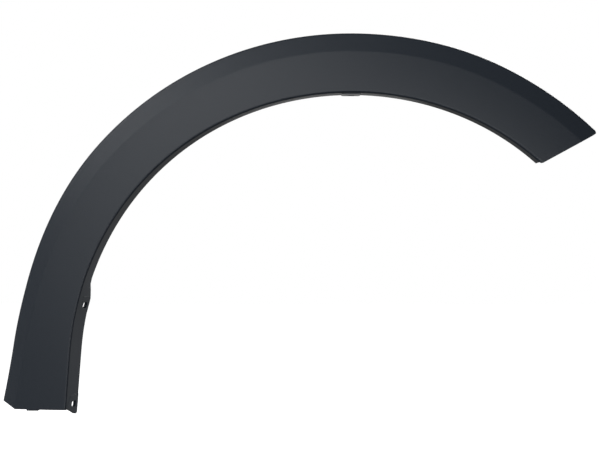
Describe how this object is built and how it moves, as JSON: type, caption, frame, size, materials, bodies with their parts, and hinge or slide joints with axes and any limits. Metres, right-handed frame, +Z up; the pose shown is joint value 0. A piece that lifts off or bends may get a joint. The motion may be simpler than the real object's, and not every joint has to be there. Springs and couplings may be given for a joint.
{
  "type": "wheel arch trim",
  "caption": "Curved plastic wheel arch moulding with a soft outer bevel, an inward flange with a screw hole and slots, a straight rear leg and clip seats behind the face.",
  "frame": {"origin": "on the axis of the screw hole in the crown tab, at the tab's wheel-side face", "axes": "+X along the car towards the front end of the moulding, +Y into the body, +Z up; the face looks to -Y"},
  "size_m": [0.7664, 0.0671, 0.4927],
  "materials": {
    "trim_plastic": "fine moulded grain, matte, dark blue-grey"
  },
  "bodies": {
    "root": {"arch_trim": "trim_plastic"}
  },
  "joints": []
}
